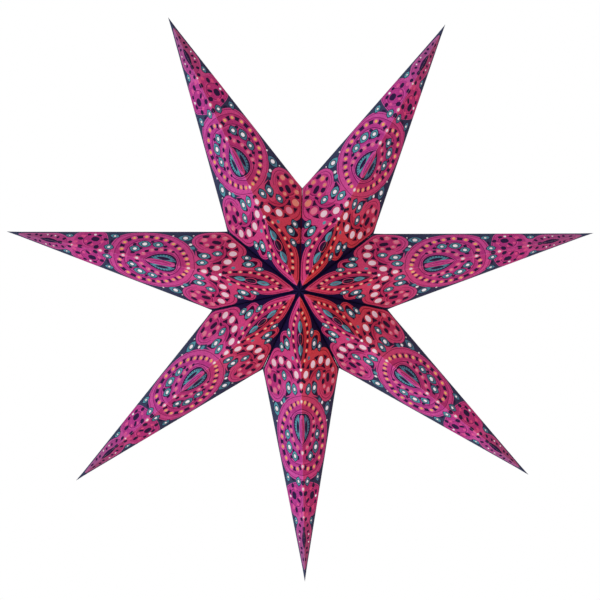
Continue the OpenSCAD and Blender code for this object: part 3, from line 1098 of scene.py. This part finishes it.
class Shader:
    """The nodes of one material, or of the world."""

    def __init__(self, owner):
        owner.use_nodes = True
        self.tree = owner.node_tree
        self.tree.nodes.clear()

    def add(self, kind, settings=None, sockets=None, out=0):
        """Adds one node: its settings first, then the values or links of its sockets."""
        node = self.tree.nodes.new(kind)
        for name, value in (settings or {}).items():
            setattr(node, name, value)
        for name, value in (sockets or {}).items():
            if isinstance(value, Wire):
                self.tree.links.new(value.socket, node.inputs[name])
            else:
                node.inputs[name].default_value = value
        return Wire(self, node.outputs[out]) if node.outputs else node

    def noise(self, place, scale, detail=2.0, roughness=0.5):
        return self.add(
            "ShaderNodeTexNoise", {},
            {"Vector": place, "Scale": scale, "Detail": detail, "Roughness": roughness}, "Fac")

    def attribute(self, name):
        return self.add("ShaderNodeAttribute", {"attribute_name": name}, {}, "Fac")

    def step(self, value, low, high):
        """0 below low, 1 above high, and smooth between."""
        return self.add(
            "ShaderNodeMapRange", {"interpolation_type": "SMOOTHSTEP"},
            {"Value": value, "From Min": low, "From Max": high})

    def mix(self, mask, first, second, blend="MIX"):
        first, second = (v if isinstance(v, Wire) else tuple(v) + (1.0,) for v in (first, second))
        return self.add(
            "ShaderNodeMix", {"data_type": "RGBA", "blend_type": blend}, {0: mask, 6: first, 7: second}, 2)

    def light_rays(self):
        """1 for the rays that show the background itself, in the picture or in a gloss."""
        path = [self.add("ShaderNodeLightPath", out=name)
                for name in ("Is Camera Ray", "Is Glossy Ray", "Is Transmission Ray")]
        return path[0].larger(path[1]).larger(path[2])


class PaperFinish:
    """A paper material: fibres, soft cloudiness and folds that are rubbed pale."""

    def __init__(self, name):
        self.material = bpy.data.materials.new(name)
        self.shader = Shader(self.material)
        self.place = self.shader.add("ShaderNodeTexCoord", out="Object")
        self.fibres = self.shader.noise(self.place, FIBRES, 3.0, 0.65)
        self.clouds = self.shader.noise(self.place, CLOUDS, 3.0, 0.6)

    def from_centre(self):
        """Distance from the star's middle axis, in metres."""
        x, z = (self.shader.add("ShaderNodeSeparateXYZ", {}, {0: self.place}, axis) for axis in ("X", "Z"))
        return (x * x + z * z) ** 0.5

    def close(self, colour, roughness, bump_height, specular, bump_strength=0.3):
        bump = self.shader.add(
            "ShaderNodeBump", {}, {"Strength": bump_strength, "Distance": 0.00012, "Height": bump_height})
        surface = self.shader.add(
            "ShaderNodeBsdfPrincipled", {},
            {"Base Color": colour, "Roughness": roughness, "Normal": bump, "Specular IOR Level": specular})
        self.shader.add("ShaderNodeOutputMaterial", {}, {"Surface": surface})
        return self.material


def printed_finish(name, near, far, card, side_light_shares, dust):
    """Ink on card, from its colour at the star's centre to its colour at the tips.

    Painted light and shade come in as the pair of colours that faces that look right keep of the colour, at
    the centre and at the tips; dust is the colour that the ink fades to at the tips, or None.
    """
    paper = PaperFinish(name)
    shader = paper.shader
    outward = shader.step(paper.from_centre(), CENTRE_INKS_END, TIP_INKS_START)
    colour = shader.mix(outward, near, far)
    if dust:
        tipward = shader.step(paper.from_centre(), DUST_START, DUST_FULL)
        colour = shader.mix(tipward * 0.6, colour, dust)
    # Painted light and shade: faces that look to the right have their colour multiplied by the share
    share = shader.mix(shader.attribute("warm"), (1, 1, 1), shader.mix(outward, *side_light_shares))
    colour = shader.mix(1.0, colour, share, "MULTIPLY")
    grain = shader.noise(paper.place, GRAIN, 2.0, 0.6)
    colour = colour_times(shader, colour, 0.45 + 0.3 * paper.clouds + 0.8 * grain)
    specks = shader.step(paper.fibres, 0.68, 0.82)
    colour = shader.mix(specks * 0.1, colour, card)
    chips = shader.noise(paper.place, CHIPS, 4.0, 0.7)
    rubbed = shader.step(shader.attribute("wear") * 0.7 + chips * 0.75, 0.86, 1.2)
    colour = shader.mix(rubbed * 0.3, colour, card)
    roughness = 0.55 + 0.2 * paper.fibres
    height = paper.fibres + 0.8 * shader.noise(paper.place, 260.0, 2.0)
    return paper.close(colour, roughness, height, 0.07)


def colour_times(shader, colour, amount):
    """A colour made darker or lighter by a number that changes over the surface."""
    grey = shader.add("ShaderNodeCombineColor", {}, {"Red": amount, "Green": amount, "Blue": amount})
    return shader.mix(1.0, colour, grey, "MULTIPLY")


def bare_card_finish(name, colour):
    """Unprinted card with its own fibres."""
    paper = PaperFinish(name)
    shader = paper.shader
    tone = colour_times(shader, colour, 0.88 + 0.2 * paper.clouds)
    flecks = shader.step(shader.noise(paper.place, 700.0, 4.0, 0.75), 0.62, 0.74)
    tone = shader.mix(flecks * 0.2, tone, tuple(c * 0.7 for c in colour))
    return paper.close(tone, 0.72 + 0.16 * paper.fibres, paper.fibres, 0.25)


def tissue_finish(name, colour):
    """Thin tissue with long, cloudy fibres."""
    paper = PaperFinish(name)
    shader = paper.shader
    tone = colour_times(shader, colour, 0.9 + 0.18 * paper.clouds)
    threads = shader.step(shader.noise(paper.place, 340.0, 5.0, 0.8), 0.55, 0.7)
    tone = shader.mix(threads * 0.22, tone, tuple(c * 0.82 for c in colour))
    height = paper.fibres + 1.4 * threads
    return paper.close(tone, 0.62 + 0.2 * paper.fibres, height, 0.3, 0.4)


def card_finishes(colours):
    card = tuple(colours.card_back)
    # Painted light and shade for faces that look to the right: redder reds, darker darks and teal
    red_side_light = tuple(colours.side_light_reds_near), tuple(colours.side_light_reds_far)
    dark_side_shade = (tuple(colours.side_shade_darks),) * 2
    dust = tuple(colours.tip_dust)
    inks = {
        "ground": (colours.ground_near, colours.ground_far, dark_side_shade),
        "band": (colours.band_near, colours.band_far, red_side_light),
        "field": (colours.field_near, colours.field_far, red_side_light),
        "glow": (colours.glow_near, colours.glow_far, red_side_light),
        "line": (colours.line_near, colours.line_far, red_side_light),
        "dark": (colours.dark_near, colours.dark_far, dark_side_shade),
        "teal": (colours.teal, colours.teal, dark_side_shade),
    }
    finishes = {
        ink: printed_finish(
            "ink_" + ink, tuple(near), tuple(far), card, side_light_shares, dust if side_light_shares is red_side_light else None)
        for ink, (near, far, side_light_shares) in inks.items()
    }
    finishes["card_back"] = bare_card_finish("card_back", card)
    finishes["card_edge"] = bare_card_finish("card_edge", tuple(0.9 * c for c in card))
    return finishes


def tissue_finishes(colours):
    tints = {
        "plain": colours.plain, "pink_white": colours.pink_white, "orange": colours.orange,
        "cream": colours.cream, "pink": colours.pink, "white": colours.white, "salmon": colours.salmon,
    }
    return {"tissue_" + tint: tissue_finish("tissue_" + tint, tuple(c)) for tint, c in tints.items()}


# What the sidebar's buttons make


class STAR_OT_card(Operator):
    """Makes each point's folded, printed and cut card in place of its plain solid"""

    bl_idname = "star.card"
    bl_label = "Printed card"

    def execute(self, context):
        finishes, store = card_finishes(context.scene.star_print), {}
        for index in range(len(POINTS)):
            point = Point(index)
            piece = make_card(point, context.scene.star_sizes, finishes, store)
            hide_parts("point_" + point.name)
            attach(piece, "root")
        return {"FINISHED"}


class STAR_OT_tissue(Operator):
    """Makes each point's tissue, which shows in the cut-outs, in place of its plain solid"""

    bl_idname = "star.tissue"
    bl_label = "Tissue"

    def execute(self, context):
        finishes, store = tissue_finishes(context.scene.star_tissue), {}
        for index in range(len(POINTS)):
            point = Point(index)
            piece = make_tissue(point, context.scene.star_sizes, finishes, store)
            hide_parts("lining_" + point.name)
            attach(piece, "root")
        return {"FINISHED"}


def add_camera(studio):
    """The camera, aimed so that the star's centre lies a little above the middle of the picture."""
    lens = bpy.data.cameras.new("camera")
    lens.sensor_width = SENSOR_WIDTH
    lens.lens = FOCAL_PIXELS / PICTURE * lens.sensor_width
    lens.clip_start, lens.clip_end = 0.05, 60.0
    camera = bpy.data.objects.new("camera", lens)
    bpy.context.scene.collection.objects.link(camera)
    a, e = studio.camera_azimuth, studio.camera_elevation
    back = Vector((math.sin(a) * math.cos(e), -math.cos(a) * math.cos(e), math.sin(e)))
    camera.location = back * studio.camera_distance
    camera.rotation_mode = "QUATERNION"
    camera.rotation_quaternion = (-back).to_track_quat("-Z", "Y")
    lens.shift_x = (PICTURE / 2 - CENTRE_PIXEL[0]) / PICTURE
    lens.shift_y = (CENTRE_PIXEL[1] - PICTURE / 2) / PICTURE
    bpy.context.scene.camera = camera


def add_lamp(name, place, size, watts, colour):
    """A soft square lamp, aimed at the star's centre."""
    light = bpy.data.lights.new(name, "AREA")
    light.shape, light.size, light.energy, light.color = "SQUARE", size, watts, colour
    lamp = bpy.data.objects.new(name, light)
    bpy.context.scene.collection.objects.link(lamp)
    lamp.location = place
    lamp.rotation_mode = "QUATERNION"
    lamp.rotation_quaternion = (-Vector(place)).to_track_quat("-Z", "Y")


def light_world(strength):
    """Even light all round; the background itself shows white."""
    world = bpy.data.worlds.new("studio")
    bpy.context.scene.world = world
    shader = Shader(world)
    light = shader.add("ShaderNodeBackground", {}, {"Color": (1, 1, 1, 1), "Strength": strength})
    white = shader.add("ShaderNodeBackground", {}, {"Color": (1, 1, 1, 1), "Strength": 1.0})
    shown = shader.add("ShaderNodeMixShader", {}, {0: shader.light_rays(), 1: light, 2: white})
    shader.add("ShaderNodeOutputWorld", {}, {"Surface": shown})


def add_floor(drop):
    """A pale floor that fades into the white background."""
    t = np.arange(FLOOR_SIDES) * 2 * math.pi / FLOOR_SIDES
    corners = [(FLOOR_RADIUS * math.cos(a), FLOOR_RADIUS * math.sin(a), -drop) for a in t]
    mesh = bpy.data.meshes.new("floor")
    mesh.from_pydata(corners, [], [list(range(FLOOR_SIDES))])
    floor = bpy.data.objects.new("floor", mesh)
    bpy.context.scene.collection.objects.link(floor)
    material = bpy.data.materials.new("pale_floor")
    shader = Shader(material)
    place = shader.add("ShaderNodeTexCoord", out="Object")
    x, y = (shader.add("ShaderNodeSeparateXYZ", {}, {0: place}, axis) for axis in ("X", "Y"))
    far = shader.step((x * x + y * y) ** 0.5, 0.9, 2.1)
    matt = shader.add("ShaderNodeBsdfPrincipled", {}, {"Base Color": (0.86, 0.86, 0.86, 1), "Roughness": 0.9})
    white = shader.add("ShaderNodeEmission", {}, {"Color": (1, 1, 1, 1), "Strength": 1.0})
    shown = shader.add("ShaderNodeMixShader", {}, {0: far * shader.light_rays(), 1: matt, 2: white})
    shader.add("ShaderNodeOutputMaterial", {}, {"Surface": shown})
    mesh.materials.append(material)


class STAR_OT_studio(Operator):
    """Makes the camera, the soft lamps, the white background and the floor"""

    bl_idname = "star.studio"
    bl_label = "Studio"

    def execute(self, context):
        studio = context.scene.star_studio
        add_camera(studio)
        light_world(studio.world_strength)
        for side in ("left_lamp", "right_lamp"):
            place, size, power, colour = (
                getattr(studio, side + "_" + what) for what in ("place", "size", "power", "colour"))
            add_lamp(side, place, size, power, colour)
        add_floor(studio.floor_drop)
        context.scene.view_settings.view_transform = "Standard"
        return {"FINISHED"}


class STAR_PT_sidebar(Panel):
    """Lists the star's sizes, colours and buttons"""

    bl_label = "Paper star"
    bl_idname = "STAR_PT_sidebar"
    bl_space_type = "VIEW_3D"
    bl_region_type = "UI"
    bl_category = "Paper star"

    def draw(self, context):
        for group in GROUPS:
            box = self.layout.box()
            for name in GROUPS[group].__annotations__:
                box.prop(getattr(context.scene, group), name)
        for operator in OPERATORS:
            self.layout.operator(operator.bl_idname)


GROUPS = {
    "star_sizes": StarPaperSizes, "star_print": StarPrintColours,
    "star_tissue": StarTissueColours, "star_studio": StarStudio,
}
OPERATORS = (STAR_OT_studio, STAR_OT_card, STAR_OT_tissue)


def register():
    for kind in (*GROUPS.values(), *OPERATORS, STAR_PT_sidebar):
        bpy.utils.register_class(kind)
    for name, kind in GROUPS.items():
        setattr(bpy.types.Scene, name, PointerProperty(type=kind))


def unregister():
    for name in GROUPS:
        delattr(bpy.types.Scene, name)
    for kind in (STAR_PT_sidebar, *OPERATORS, *GROUPS.values()):
        bpy.utils.unregister_class(kind)


def main():
    register()
    bpy.ops.star.studio()
    bpy.ops.star.card()
    bpy.ops.star.tissue()


if __name__ == "__main__":
    main()
